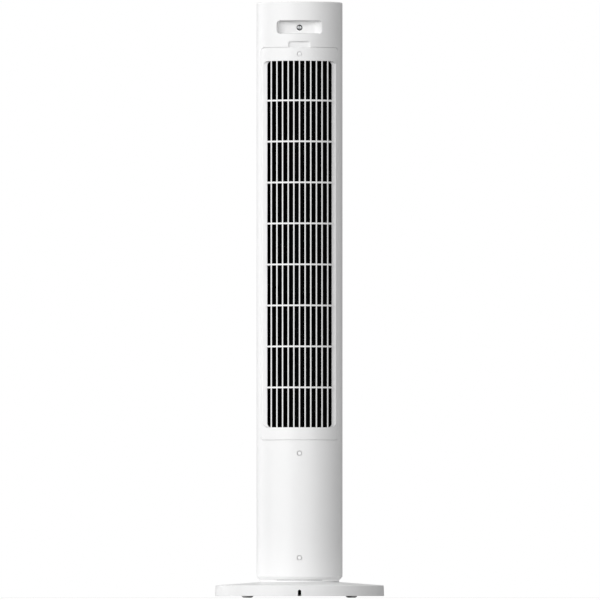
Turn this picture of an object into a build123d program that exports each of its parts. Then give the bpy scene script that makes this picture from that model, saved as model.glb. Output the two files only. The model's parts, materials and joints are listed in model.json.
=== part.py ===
from build123d import *
import math
import os

os.makedirs("parts", exist_ok=True)

# Tower fan in millimetres. +Z is up, the origin is on the floor on the column's axis,
# air leaves towards -Y through the front grille and enters from +Y through the rear one.

# Whole fan
height = 1094.0
column_r = 79.0
wall = 2.6
shell_r = column_r - wall
liner_r = 73.6

# Base
base_r = 155.5
base_rim_r = 154.7
base_low = 3.2
rim_top = 22.8
neck_r = 73.0
neck_low = 28.8
deck_top = 32.0
hub_bore_r = 11.0
plate_r = 152.0
plate_top = base_low + wall
ballast_thickness = 4.5
base_screw_pcd_r = 142.0
foot_r = 10.1
foot_flat_r = 5.5
foot_pcd_r = 135.0
ballast_pcd_r = 106.0
ballast_peg_r = 2.4
notch_width = 6.0
notch_top = 14.7
well_half = 14.0
well_near = 75.0
well_far = 119.0
well_top = 19.5
inlet_z = 12.5

# Swing drive
module = 0.8
gear_teeth = 60
pinion_teeth = 15
gear_low = 56.0
gear_high = 62.0
hub_r = 16.0
hub_grooves = [52.4, 62.2]
hub_screw_pcd_r = 25.0
hub_top = 65.0
race_in = 34.0
race_out = 42.0
ball_r = 2.45
ball_count = 16
ball_pcd_r = 38.0
pinion_x = -module * (gear_teeth + pinion_teeth) / 2
motor_x = pinion_x - 8.0
turntable_low = 39.0
turntable_high = 42.0
chassis_screw_pcd_r = 68.0
bracket_low = 66.0
bracket_high = 68.5
motor_top = 87.5
motor_ears = 17.5
shaft_top = 73.5
pinion_shaft_r = 2.45
bracket_posts = [(-58, -18), (-58, 18), (34, -18), (34, 18)]

# Column
column_low = 32.8
chamfer_r = 73.5
chamfer_top = 38.8
seam = 0.125
chassis_r = 75.5
chassis_low = 46.0
chassis_top = 286.0
column_screw_heights = [73.2, 264.8]
screw_well_r = 4.85
screw_floor_y = column_r - 1.4
screw_bore_r = 1.7
lip_low = 1087.0
board_back_y = -52.0
board_face_y = board_back_y + 1.6

# Grilles
grille_low = 289.7
grille_high = 1009.2
grille_half = 70.6
grille_gap = 0.25
grille_end_gap = 0.7
grille_corner = 5.0
field_low = 312.4
field_high = 984.8
field_half = 59.0
field_corner = 7.5
ledge_half = 66.7
ledge_y = math.sqrt(column_r**2 - ledge_half**2)
bar_width = 2.4
bar_pitch = 10.35
bar_r = 78.7
rib_height = 3.1
rib_r = 78.4
rib_count = 8
rib_pitch = 75.21
field_middle = (field_low + field_high) / 2
grille_screw_z = 996.9
grille_peg_r = 1.5
grille_pegs = [(-45, 296.5), (-45, 1000), (45, 296.5), (45, 1000)]
pocket_half = 20.3
pocket_low = 1004.0
pocket_high = 1020.5
pocket_floor_y = 73.6
pocket_corner = 4.2
pocket_wall = 2.2
front_half = 46.0
front_field_half = 36.2

# Air path
impeller_r = 50.0
impeller_in = 39.0
impeller_low = 303.0
impeller_high = 988.0
blade_count = 32
ring_count = 9
shaft_r = 4.0
hub_depth = 16.0
impeller_ring_height = 2.5
blade_thickness = 1.3
duct_wall = 2.0
bearing_r = shaft_r + 0.05
duct_low = 300.0
duct_high = 993.0
duct_r = 72.8

# Fan motor
can_r = 40.0
can_low = 236.0
can_high = 281.0
can_wall = 2.2
stator_low = 250.0
stator_high = 273.0
stator_r = can_r - can_wall
coil_r = 36.0
motor_plate_low = 287.0
motor_plate_high = 290.0
motor_mount_pcd_r = 45.0
bearing_outer_r = 9.0

# Head
head_low = 1012.0
recess_half = 42.0
recess_low = 1034.5
recess_high = 1059.0
recess_corner = 6.6
recess_floor_y = 54.5
recess_end_r = 18.0
recess_wall = 2.2
handle_screw_y = 50.5
handle_screw_z = 1046.3
handle_bore_r = 5.4
washer_top = 51.7
panel_r = 73.2
panel_low = 1090.5
panel_high = 1093.3
button_names = ["power_button", "timer_button", "swing_button", "speed_button"]
button_pitch = 25.0
button_y = -34.0
button_r = 9.3
button_low = 1088.4
button_high = 1093.9
window_size = (60.0, 28.0)
window_y = 10.0
window_depth = 1.5
board_low = 1080.0
board_high = 1081.6
head_posts = [(-52, -40), (-52, 40), (52, -40), (52, 40)]
board_posts = [(-25, -41), (25, -41), (-40, 24), (40, 24)]

# Cylinders placed by the middle of their lower face
upright = (Align.CENTER, Align.CENTER, Align.MIN)


def ring(outer, inner, low, high, mode=Mode.ADD, center=(0, 0)):
    """Adds a ring, or a disc where inner is 0, between two heights."""
    with BuildSketch(Plane.XY.offset(low)) as face:
        with Locations(center):
            Circle(outer)
            if inner:
                Circle(inner, mode=Mode.SUBTRACT)
    extrude(face.sketch, amount=high - low, mode=mode)


def block(x, y, z, mode=Mode.ADD):
    """Adds a block between the two values of each of x, y and z."""
    with BuildSketch(Plane.XY.offset(z[0])) as face:
        with Locations(((x[0] + x[1]) / 2, (y[0] + y[1]) / 2)):
            Rectangle(x[1] - x[0], y[1] - y[0])
    extrude(face.sketch, amount=z[1] - z[0], mode=mode)


def arc_wall(outer, inner, x, y, low, high, mode=Mode.ADD):
    """Adds the stretch of a ring that lies between the two values of x and of y."""
    with BuildSketch(Plane.XY.offset(low)) as face:
        Circle(outer)
        Circle(inner, mode=Mode.SUBTRACT)
        with Locations(((x[0] + x[1]) / 2, (y[0] + y[1]) / 2)):
            Rectangle(x[1] - x[0], y[1] - y[0], mode=Mode.INTERSECT)
    extrude(face.sketch, amount=high - low, mode=mode)


def window(half, low, high, corner, near, far, mode=Mode.SUBTRACT):
    """Cuts a round-cornered window, seen along Y, from near to far."""
    with BuildSketch(Plane.XZ.offset(-near)) as face:
        with Locations((0, (low + high) / 2)):
            RectangleRounded(2 * half, high - low, corner)
    extrude(face.sketch, amount=near - far, mode=mode)


def rod(start, end, radius, mode=Mode.ADD):
    """Adds a round rod from start to end."""
    path = Vector(end) - Vector(start)
    with BuildSketch(Plane(start, z_dir=path)) as face:
        Circle(radius)
    extrude(face.sketch, amount=path.length, mode=mode)


def screw(seat, into, length, head_r=2.7, head_height=1.9, shank_r=1.2):
    """Adds a cross-head screw whose head sits on the point seat, its shank running along into."""
    plane = Plane(seat, z_dir=into)
    with BuildSketch(plane.offset(-head_height)) as head:
        Circle(head_r)
    extrude(head.sketch, amount=head_height)
    with BuildSketch(plane) as shank:
        Circle(shank_r)
    extrude(shank.sketch, amount=length)
    with BuildSketch(plane.offset(-head_height)) as cross:
        Rectangle(head_r * 1.1, head_r * 0.28)
        Rectangle(head_r * 0.28, head_r * 1.1)
    extrude(cross.sketch, amount=head_height * 0.6, mode=Mode.SUBTRACT)


def gear_face(teeth, addendum, backlash, first_tooth):
    """Sketches a spur gear's outline with involute flanks; first_tooth is in degrees."""
    pitch_r = module * teeth / 2
    base_circle_r = pitch_r * math.cos(math.radians(20))
    root_r = pitch_r - 1.25 * module
    tip_r = pitch_r + addendum * module
    flank_low = max(root_r, base_circle_r)
    half_at_pitch = (math.pi / 2 - backlash / module) / teeth
    rise = math.sqrt((pitch_r / base_circle_r) ** 2 - 1)
    pitch_involute = rise - math.atan(rise)

    def flank_point(radius, side, middle):
        climb = math.sqrt(max((radius / base_circle_r) ** 2 - 1, 0))
        half = half_at_pitch + pitch_involute - (climb - math.atan(climb))
        angle = middle + side * half
        return (radius * math.cos(angle), radius * math.sin(angle))

    Circle(root_r + 0.02)
    flank_radii = [flank_low + (tip_r - flank_low) * step / 3 for step in range(4)]
    for tooth in range(teeth):
        middle = math.radians(first_tooth + 360 * tooth / teeth)
        right = [flank_point(radius, -1, middle) for radius in flank_radii]
        left = [flank_point(radius, 1, middle) for radius in flank_radii]
        feet = []
        for side in (1, -1):
            angle = middle + side * 0.45 * math.pi / teeth
            feet.append((0.97 * root_r * math.cos(angle), 0.97 * root_r * math.sin(angle)))
        with BuildLine() as outline:
            Spline(*right)
            Line(right[-1], left[-1])
            Spline(*left)
            Polyline(left[0], *feet, right[0])
        add(make_face(outline.line))


def circles(part, radius, z):
    """Finds the round edges of one radius at one height."""
    edges = part.edges().filter_by(GeomType.CIRCLE)
    return edges.filter_by(lambda edge: abs(edge.radius - radius) < 0.01 and abs(edge.center().Z - z) < 0.01)


# ---- Base ----

with BuildPart() as base_cover:
    with BuildSketch(Plane.XZ):
        with BuildLine():
            Polyline(
                (hub_bore_r, deck_top),
                (neck_r, deck_top),
                (neck_r, neck_low),
                (base_rim_r, rim_top),
                (base_r, base_low),
                (base_r - wall, base_low),
                (base_rim_r - wall, rim_top - wall),
                (neck_r - wall, neck_low - wall),
                (neck_r - wall, deck_top - wall),
                (hub_bore_r, deck_top - wall),
                close=True,
            )
        make_face()
    revolve(axis=Axis.Z)
    fillet(circles(base_cover, base_rim_r, rim_top), radius=1.6)
    ring(31, 20, 22, deck_top - 1)
    with PolarLocations(base_screw_pcd_r, 6):
        with Locations((0, 0, 8.2)):
            Cylinder(4, 13.2, align=upright)
            Cylinder(1.5, 11, align=upright, mode=Mode.SUBTRACT)
    with PolarLocations(hub_screw_pcd_r, 4, start_angle=45):
        with Locations((0, 0, 24)):
            Cylinder(1.5, 10, align=upright, mode=Mode.SUBTRACT)
    # Mouth of the cord channel
    notch_r = notch_width / 2
    arch_z = notch_top - notch_r
    block((-notch_r, notch_r), (145, 160), (0, arch_z), Mode.SUBTRACT)
    rod((0, 145, arch_z), (0, 160, arch_z), notch_r, Mode.SUBTRACT)

with BuildPart() as base_plate:
    ring(plate_r, 0, base_low, plate_top)
    # Plug well with its channel to the rim
    block((-well_half - 2, well_half + 2), (well_near - 2, well_far + 2), (base_low, well_top + 2))
    block((-5.2, 5.2), (well_far, 150), (base_low, 16.4))
    block((-well_half, well_half), (well_near, well_far), (0, well_top), Mode.SUBTRACT)
    block((-3.6, 3.6), (well_far - 1, 160), (0, notch_top), Mode.SUBTRACT)
    block((-10.2, 10.2), (well_near - 3, well_near + 1), (6.3, 18.7), Mode.SUBTRACT)
    # Screw cups and foot sockets
    with PolarLocations(base_screw_pcd_r, 6):
        with Locations((0, 0, base_low)):
            Cylinder(6.4, 5, align=upright)
            Cylinder(4.4, 3.4, align=upright, mode=Mode.SUBTRACT)
            Cylinder(1.7, 6, align=upright, mode=Mode.SUBTRACT)
    with PolarLocations(foot_pcd_r, 4, start_angle=45):
        with Locations((0, 0, base_low)):
            Cylinder(foot_r + 0.3, 1, align=upright, mode=Mode.SUBTRACT)
    # Pegs that hold the ballast
    with PolarLocations(ballast_pcd_r, 3, start_angle=30):
        with Locations((0, 0, plate_top - 1)):
            Cylinder(ballast_peg_r, 9, align=upright)

with BuildPart() as base_ballast:
    ring(132, 78, plate_top, plate_top + ballast_thickness)
    block((-20, 20), (0, 140), (0, 20), Mode.SUBTRACT)
    with PolarLocations(ballast_pcd_r, 3, start_angle=30):
        with Locations((0, 0, 0)):
            Cylinder(ballast_peg_r + 0.1, 20, align=upright, mode=Mode.SUBTRACT)

with BuildPart() as foot:
    with BuildSketch(Plane.XZ):
        with BuildLine():
            Line((0, 0), (foot_flat_r, 0))
            TangentArc((foot_flat_r, 0), (foot_r, base_low), tangent=(1, 0))
            Polyline((foot_r, base_low), (foot_r, base_low + 1), (0, base_low + 1), (0, 0))
        make_face()
    revolve(axis=Axis.Z)

with BuildPart() as base_feet:
    with PolarLocations(foot_pcd_r, 4, start_angle=45):
        add(foot.part)

with BuildPart() as base_screws:
    for turn in range(6):
        spot = Vector(base_screw_pcd_r, 0, base_low + 3.4).rotate(Axis.Z, 60 * turn)
        screw(spot, (0, 0, 1), 11, 3.4, 2.0, 1.45)

with BuildPart() as mains_inlet:
    block((-10, 10), (56, well_near), (6.5, 18.5))
    block((-13.5, 13.5), (71.2, well_near - 2.2), (5.9, 20.4))
    with BuildSketch(Plane.XZ.offset(-(well_near - 11))):
        with Locations((0, inlet_z)):
            SlotOverall(16.4, 8.8)
    extrude(amount=-12, mode=Mode.SUBTRACT)

with BuildPart() as inlet_pins:
    for side in (-1, 1):
        rod((4.3 * side, well_near - 11, inlet_z), (4.3 * side, well_near - 2, inlet_z), 1.2)

with BuildPart() as pivot_hub:
    ring(30, 0, deck_top, 35)
    ring(hub_r, 0, deck_top, hub_top)
    ring(hub_bore_r, 0, deck_top - 1, hub_top + 1, Mode.SUBTRACT)
    block((-1.5, 1.5), (hub_r - 2, hub_r + 1.4), (gear_low, gear_high))
    for groove in hub_grooves:
        ring(hub_r + 2, 15, groove, groove + 1.6, Mode.SUBTRACT)
    with PolarLocations(hub_screw_pcd_r, 4, start_angle=45):
        with Locations((0, 0, deck_top - 1)):
            Cylinder(1.7, 5, align=upright, mode=Mode.SUBTRACT)

with BuildPart() as hub_screws:
    for turn in range(4):
        spot = Vector(hub_screw_pcd_r, 0, 35).rotate(Axis.Z, 45 + 90 * turn)
        screw(spot, (0, 0, -1), 10, 3.0, 2.0, 1.45)

with BuildPart() as hub_clips:
    for groove in hub_grooves:
        ring(20.4, 15.05, groove + 0.05, groove + 1.55)
    block((10, 22), (-7, 7), (50, 66), Mode.SUBTRACT)

with BuildPart() as swing_gear:
    with BuildSketch(Plane.XY.offset(gear_low)):
        gear_face(gear_teeth, 0.85, 0.08, 0)
    extrude(amount=gear_high - gear_low)
    ring(19.5, 0, 54.1, gear_low + 1)
    ring(hub_r + 0.05, 0, 50, 70, Mode.SUBTRACT)
    block((-1.6, 1.6), (10, hub_r + 1.5), (50, 70), Mode.SUBTRACT)

with BuildPart() as lower_race:
    ring(race_out, race_in, deck_top, deck_top + 1)

# ---- Ball cage ----

with BuildPart() as ball_cage:
    ring(41, 35, 34, 37)
    with PolarLocations(ball_pcd_r, ball_count):
        with Locations((0, 0, 33)):
            Cylinder(ball_r + 0.1, 5, align=upright, mode=Mode.SUBTRACT)

with BuildPart() as bearing_balls:
    with PolarLocations(ball_pcd_r, ball_count):
        with Locations((0, 0, 35.5)):
            Sphere(ball_r)

# ---- Tower: turntable and swing drive ----

with BuildPart() as turntable:
    ring(75, hub_r + 0.1, turntable_low, turntable_high)
    ring(20, hub_r + 0.1, turntable_low, 52)
    with Locations([(x, y, turntable_high - 1) for x, y in bracket_posts]):
        Cylinder(4, bracket_low - turntable_high + 1, align=upright)
    with Locations([(x, y, bracket_low - 12) for x, y in bracket_posts]):
        Cylinder(1.25, 14, align=upright, mode=Mode.SUBTRACT)
    with PolarLocations(chassis_screw_pcd_r, 4, start_angle=45):
        with Locations((0, 0, turntable_low + 0.5)):
            Cylinder(1.25, 5, align=upright, mode=Mode.SUBTRACT)

with BuildPart() as upper_race:
    ring(race_out, race_in, turntable_low - 1, turntable_low)

with BuildPart() as swing_bracket:
    with BuildSketch(Plane.XY.offset(bracket_low)):
        with Locations((-12, 0)):
            RectangleRounded(112, 52, 8)
        Circle(12, mode=Mode.SUBTRACT)
        with Locations((pinion_x, 0)):
            Circle(5.2, mode=Mode.SUBTRACT)
        with Locations(*bracket_posts, (motor_x, -motor_ears), (motor_x, motor_ears)):
            Circle(1.25, mode=Mode.SUBTRACT)
    extrude(amount=bracket_high - bracket_low)

with BuildPart() as swing_motor:
    ring(14, 0, bracket_high, motor_top, center=(motor_x, 0))
    with BuildSketch(Plane.XY.offset(bracket_high)):
        with Locations((motor_x, 0)):
            SlotOverall(42, 7, rotation=90)
    extrude(amount=0.9)
    ring(4.5, 0, bracket_low + 1, bracket_high, center=(pinion_x, 0))
    block((motor_x - 17, motor_x - 12), (-7.3, 7.3), (bracket_high, motor_top - 1.5))
    ring(pinion_shaft_r + 0.05, 0, bracket_low, shaft_top + 0.5, Mode.SUBTRACT, center=(pinion_x, 0))
    for side in (-1, 1):
        ring(2.1, 0, bracket_high - 1, 70, Mode.SUBTRACT, center=(motor_x, motor_ears * side))

with BuildPart() as swing_pinion:
    with BuildSketch(Plane.XY.offset(gear_low)):
        gear_face(pinion_teeth, 0.9, 0.08, 180 / pinion_teeth)
    extrude(amount=gear_high - gear_low)
    ring(4.2, 0, gear_high - 1, gear_high + 2.4)
    ring(pinion_shaft_r, 0, gear_low - 1, gear_high + 4, Mode.SUBTRACT)
# Its place, in mesh with the swing gear
swing_pinion.part.position = (pinion_x, 0, 0)

with BuildPart() as pinion_shaft:
    ring(pinion_shaft_r, 0, gear_low - 0.5, shaft_top, center=(pinion_x, 0))

# ---- Tower: chassis ----

with BuildPart() as chassis_frame:
    ring(chassis_r, 65.5, turntable_high, chassis_low)
    ring(chassis_r, 65.5, chassis_top - 6, chassis_top)
    for turn in range(4):
        with BuildSketch(Plane.XY.offset(turntable_high)):
            with PolarLocations(73, 1, start_angle=45 + 90 * turn):
                Rectangle(4, 16)
        extrude(amount=chassis_top - turntable_high)
    block((-9, 9), (66, 74.8), (turntable_high, chassis_top))
    for z in column_screw_heights:
        rod((0, 56, z), (0, 74.8, z), 5)
        rod((0, 57, z), (0, 76, z), 1.5, Mode.SUBTRACT)
    # Rails that hold the driver board
    for side in (-1, 1):
        block(sorted((38 * side, 43 * side)), (-56, -46), (turntable_high, 214))
    block((-39.2, 39.2), (board_back_y - 0.1, board_back_y + 1.7), (98, 216), Mode.SUBTRACT)
    for low in (turntable_high - 1, chassis_top - 8):
        with PolarLocations(chassis_screw_pcd_r, 4, start_angle=45):
            with Locations((0, 0, low)):
                Cylinder(1.5, 10, align=upright, mode=Mode.SUBTRACT)

with BuildPart() as chassis_screws:
    for x, y in bracket_posts:
        screw((x, y, bracket_high), (0, 0, -1), 10)
    for side in (-1, 1):
        screw((motor_x, motor_ears * side, bracket_high + 0.9), (0, 0, -1), 10)
    for seat_z in (chassis_low, chassis_top + 4):
        for turn in range(4):
            spot = Vector(chassis_screw_pcd_r, 0, seat_z).rotate(Axis.Z, 45 + 90 * turn)
            screw(spot, (0, 0, -1), 6)

with BuildPart() as driver_board:
    block((-39, 39), (board_back_y, board_face_y), (100, 212))

with BuildPart() as board_parts:
    block((-30, -8), (board_face_y, -32), (168, 192))
    block((-30, -12), (board_face_y, -40), (106, 122))
    block((4, 30), (board_face_y, -42), (108, 118))
    for x, z, radius in ((14, 180, 8), (14, 158, 6), (-18, 146, 5)):
        rod((x, board_face_y, z), (x, -28, z), radius)
    for x in (0, 9, 18):
        block((x - 3, x + 3), (board_face_y, -46), (134, 146))

# ---- Tower: outer shells ----


def column_half(half_width):
    """Makes the +Y half of the column with a rebate for a grille panel."""
    with BuildPart() as half:
        ring(column_r, shell_r, chamfer_top, height)
        with BuildSketch(Plane.XZ):
            with BuildLine():
                Polyline(
                    (71, column_low),
                    (chamfer_r, column_low),
                    (column_r, chamfer_top),
                    (shell_r, chamfer_top),
                    (shell_r, chamfer_top - 0.9),
                    (chamfer_r, column_low + wall),
                    (71, column_low + wall),
                    close=True,
                )
            make_face()
        revolve(axis=Axis.Z)
        fillet(circles(half, column_r, height), radius=2.4)
        # Lip and ledge round the control panel
        ring(shell_r, panel_r + 0.2, lip_low, height)
        ring(panel_r + 0.2, 70, lip_low, panel_low - 0.1)
        # Rebate behind the grille
        arc_wall(shell_r, liner_r, (-80, 80), (15, 90), chassis_top + 0.5, 1022)
        window(half_width - 3.1, 303, 990.5, 4, 10, 90)
        block((-90, 90), (-90, seam), (0, height + 10), Mode.SUBTRACT)
    with BuildPart() as seat:
        arc_wall(column_r + 2, shell_r, (-80, 80), (0, 90), field_low - 60, field_high + 60)
        seat_low = grille_low - grille_end_gap
        seat_high = grille_high + grille_end_gap
        window(half_width + grille_gap, seat_low, seat_high, grille_corner + 0.3, 10, 90, Mode.INTERSECT)
    with BuildPart() as shell:
        add(half.part)
        add(seat.part, mode=Mode.SUBTRACT)
    return shell.part


def grille_panel(half_width, field, ledge, bars, frame_half):
    """Makes a curved grille panel on the +Y side: a skin, a deep frame, upright bars and level ribs."""
    with BuildPart() as skin:
        arc_wall(column_r, shell_r, (-80, 80), (10, 90), grille_low, grille_high)
        window(half_width, grille_low, grille_high, grille_corner, 10, 90, Mode.INTERSECT)
    with BuildPart() as panel:
        add(skin.part)
        arc_wall(column_r, 70, (-frame_half, frame_half), (38.5, 90), field_low - wall, field_high + wall)
        if ledge > field:
            window(ledge, field_low, field_high, field_corner + 1, ledge_y, 90)
        window(field, field_low, field_high, field_corner, 10, 90)
        for step in range(bars):
            x = (step - (bars - 1) / 2) * bar_pitch
            sides = (x - bar_width / 2, x + bar_width / 2)
            arc_wall(bar_r, 72, sides, (0, 90), field_low - 1, field_high + 1)
        for step in range(rib_count):
            z = field_middle + 0.3 + (step - (rib_count - 1) / 2) * rib_pitch
            arc_wall(rib_r, 70, (-field - 0.2, field + 0.2), (0, 90), z - rib_height / 2, z + rib_height / 2)
    return panel.part


with BuildPart() as finger_hollow:
    window(pocket_half, pocket_low, pocket_high, pocket_corner, pocket_floor_y, 90, Mode.ADD)
    fillet(finger_hollow.faces().sort_by(Axis.Y)[0].edges(), radius=pocket_corner - 0.2)

with BuildPart() as rear_shell:
    add(column_half(grille_half))
    # Finger pocket over the grille
    pocket_sides = (-pocket_half - pocket_wall, pocket_half + pocket_wall)
    pocket_back_r = pocket_floor_y - pocket_wall
    arc_wall(shell_r, pocket_back_r, pocket_sides, (0, 90), pocket_low - pocket_wall, pocket_high + pocket_wall)
    add(finger_hollow.part, mode=Mode.SUBTRACT)
    window(recess_half, recess_low, recess_high, recess_corner, 10, 90)
    # Screw boss for the grille and guide holes for its pegs
    rod((0, 62, grille_screw_z), (0, 75.5, grille_screw_z), 5)
    rod((0, 60, grille_screw_z), (0, 80, grille_screw_z), 1.6, Mode.SUBTRACT)
    for x, z in grille_pegs:
        rod((x, 50, z), (x, 80, z), grille_peg_r + 0.4, Mode.SUBTRACT)
    for z in column_screw_heights:
        rod((0, 75, z), (0, 77, z), 7)
        rod((0, screw_floor_y, z), (0, 85, z), screw_well_r, Mode.SUBTRACT)
        rod((0, 70, z), (0, 85, z), screw_bore_r, Mode.SUBTRACT)

with BuildPart() as front_shell:
    add(column_half(front_half).rotate(Axis.Z, 180))

with BuildPart() as column_screws:
    for z in column_screw_heights:
        screw((0, screw_floor_y, z), (0, -1, 0), 18, 3.25, 1.3, 1.45)

with BuildPart() as front_grille:
    front_panel = grille_panel(front_half, front_field_half, front_field_half, 7, front_field_half + 2.4)
    add(front_panel.rotate(Axis.Z, 180))

with BuildPart() as rear_grille:
    add(grille_panel(grille_half, field_half, ledge_half, 11, 68.5))
    for x, z in grille_pegs:
        rod((x, 58.5, z), (x, 62.5, z), grille_peg_r)
    rod((0, screw_floor_y, grille_screw_z), (0, 85, grille_screw_z), screw_well_r, Mode.SUBTRACT)
    rod((0, 70, grille_screw_z), (0, 85, grille_screw_z), 1.5, Mode.SUBTRACT)

with BuildPart() as grille_screw:
    screw((0, screw_floor_y, grille_screw_z), (0, -1, 0), 14, 3.25, 1.3, 1.3)

# ---- Tower: fan motor ----

with BuildPart() as motor_plate:
    ring(73, 14, motor_plate_low, motor_plate_high)
    with PolarLocations(chassis_screw_pcd_r, 4, start_angle=45):
        with Locations((0, 0, motor_plate_low - 1)):
            Cylinder(4, 1, align=upright)
            Cylinder(1.5, 5, align=upright, mode=Mode.SUBTRACT)
    with PolarLocations(motor_mount_pcd_r, 4):
        with Locations((0, 0, motor_plate_low - 1)):
            Cylinder(1.5, 5, align=upright, mode=Mode.SUBTRACT)

with BuildPart() as motor_grommets:
    for turn in range(4):
        spot = Vector(motor_mount_pcd_r, 0, 0).rotate(Axis.Z, 90 * turn)
        ring(6, 1.7, motor_plate_low - 3, motor_plate_low, center=(spot.X, spot.Y))

with BuildPart() as motor_screws:
    for turn in range(4):
        spot = Vector(motor_mount_pcd_r, 0, can_high).rotate(Axis.Z, 90 * turn)
        screw(spot, (0, 0, 1), 9, 3.2, 2.2, 1.45)

with BuildPart() as motor_cap:
    ring(can_r, 0, can_high, can_high + 3)
    ring(13, 0, 277, can_high + 1)
    with PolarLocations(motor_mount_pcd_r, 4):
        with Locations((0, 0, can_high)):
            Cylinder(7, 3, align=upright)
            Cylinder(1.7, 4, align=upright, mode=Mode.SUBTRACT)
    ring(bearing_outer_r, 0, 276, 282.2, Mode.SUBTRACT)
    ring(6, 0, 276, 285, Mode.SUBTRACT)

with BuildPart() as motor_can:
    ring(can_r, 0, can_low, can_high)
    ring(stator_r, 0, can_low + can_wall, can_high + 1, Mode.SUBTRACT)
    ring(13, 0, can_low + 1, 245)
    ring(bearing_outer_r, 0, 240, 246, Mode.SUBTRACT)
    ring(6, 0, can_low - 6, 246, Mode.SUBTRACT)
    fillet(circles(motor_can, can_r, can_low), radius=3)

with BuildPart() as motor_bearings:
    ring(bearing_outer_r, bearing_r, 240, 245)
    ring(bearing_outer_r, bearing_r, 277.2, 282.2)

with BuildPart() as motor_stator:
    ring(stator_r, 26, stator_low, stator_high)
    with PolarLocations(32, 12):
        with Locations((0, 0, 249)):
            Cylinder(2.2, 26, align=upright, mode=Mode.SUBTRACT)

with BuildPart() as motor_coils:
    ring(coil_r, 27.5, stator_low - 4, stator_low)
    ring(coil_r, 27.5, stator_high, stator_high + 3.6)
    for end in (stator_low - 4, stator_high + 3.6):
        fillet(circles(motor_coils, coil_r, end), radius=1.5)

# ---- Air path ----

with BuildPart() as duct_base:
    ring(duct_r, 10, duct_low - 3, duct_low)
    ring(63, 60, 290, duct_low - 2)

with BuildPart() as duct_top:
    ring(duct_r, 10, duct_high, duct_high + 3)
    ring(13, 10, duct_high, duct_high + 8)
    ring(63, 60, duct_high + 2, head_low)
    block((-6, 6), (58, 74), (duct_high - 1, head_low + 1), Mode.SUBTRACT)

with BuildPart() as top_bush:
    ring(10, bearing_r, duct_high, duct_high + 9)

with BuildPart() as scroll_wall:
    with BuildSketch(Plane.XY.offset(duct_low)):
        with BuildLine():
            ThreePointArc((-62.5, 32.5), (-68.5, -12), (-36, -57.5))
        trace(line_width=duct_wall)
    extrude(amount=duct_high - duct_low)

with BuildPart() as tongue_wall:
    with BuildSketch(Plane.XY.offset(duct_low)):
        with BuildLine():
            FilletPolyline((62.5, 32.5), (56, 2), (36, -57.5), radius=14)
        trace(line_width=duct_wall)
    extrude(amount=duct_high - duct_low)

with BuildPart() as impeller:
    with BuildSketch(Plane.XY.offset(impeller_low)):
        with BuildLine():
            ThreePointArc((impeller_in, 0), (45.2, 1.6), (impeller_r - 0.8, 6))
        trace(line_width=blade_thickness)
    extrude(amount=impeller_high - impeller_low)
    blade = impeller.part
    with PolarLocations(0, blade_count):
        add(blade)
    ring_step = (impeller_high - impeller_low - impeller_ring_height) / (ring_count - 1)
    for step in range(ring_count):
        low = impeller_low + step * ring_step
        is_end = step in (0, ring_count - 1)
        ring(impeller_r, 0 if is_end else impeller_in - 1, low, low + impeller_ring_height)
    ring(12, 0, impeller_low, impeller_low + hub_depth + 2)
    ring(12, 0, impeller_high - hub_depth - 2, impeller_high)
    ring(shaft_r, 0, impeller_low - 1, impeller_low + hub_depth, Mode.SUBTRACT)
    ring(shaft_r, 0, impeller_high - hub_depth, impeller_high + 1, Mode.SUBTRACT)

with BuildPart() as motor_shaft:
    ring(shaft_r, 0, 238.5, impeller_low + hub_depth)

with BuildPart() as motor_rotor:
    ring(25.4, shaft_r, stator_low, stator_high)
    ring(14, shaft_r, stator_low - 3, stator_high + 3)

with BuildPart() as top_pin:
    ring(shaft_r, 0, impeller_high - hub_depth, duct_high + 8)

# ---- Head ----

with BuildPart() as head_frame:
    ring(72.8, 0, head_low, head_low + 3)
    ring(40, 0, head_low - 1, head_low + 4, Mode.SUBTRACT)
    block((-24, 24), (66, 80), (head_low - 1, head_low + 4), Mode.SUBTRACT)
    block((-8, 8), (34, 48.2), (head_low, 1054))
    block((-8, 8), (30, 66), (head_low, head_low + 3))
    rod((0, 36, handle_screw_z), (0, 60, handle_screw_z), 1.6, Mode.SUBTRACT)
    with Locations([(x, y, head_low + 2) for x, y in head_posts]):
        Cylinder(4, panel_low - head_low - 2, align=upright)

with BuildPart() as recess_hollow:
    window(recess_half, recess_low, recess_high, recess_corner, recess_floor_y, 90, Mode.ADD)
    with BuildSketch(Plane.XY.offset(recess_low)) as trough:
        with Locations((0, recess_floor_y + 30)):
            RectangleRounded(2 * recess_half, 60, recess_end_r)
    extrude(trough.sketch, amount=recess_high - recess_low, mode=Mode.INTERSECT)

with BuildPart() as handle_cup:
    cup_low = recess_low - recess_wall
    cup_high = recess_high + recess_wall
    cup_back = recess_floor_y - recess_wall
    window(recess_half + recess_wall, cup_low, cup_high, recess_corner + recess_wall, cup_back, 90, Mode.ADD)
    ring(shell_r - 0.1, 0, 1000, 1090, Mode.INTERSECT)
    arc_wall(shell_r - 0.1, 74.2, (-47, 47), (0, 90), recess_low - 5, recess_high + 5)
    rod((0, 48.3, handle_screw_z), (0, recess_floor_y, handle_screw_z), handle_bore_r + 2)
    add(recess_hollow.part, mode=Mode.SUBTRACT)
    rod((0, handle_screw_y, handle_screw_z), (0, 70, handle_screw_z), handle_bore_r, Mode.SUBTRACT)
    rod((0, 45, handle_screw_z), (0, 70, handle_screw_z), 1.8, Mode.SUBTRACT)

with BuildPart() as handle_washer:
    rod((0, handle_screw_y, handle_screw_z), (0, washer_top, handle_screw_z), 5.2)
    rod((0, handle_screw_y - 1, handle_screw_z), (0, washer_top + 1, handle_screw_z), 1.7, Mode.SUBTRACT)

with BuildPart() as handle_screw:
    screw((0, washer_top, handle_screw_z), (0, -1, 0), 13, 3.75, 2.4, 1.5)

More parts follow.
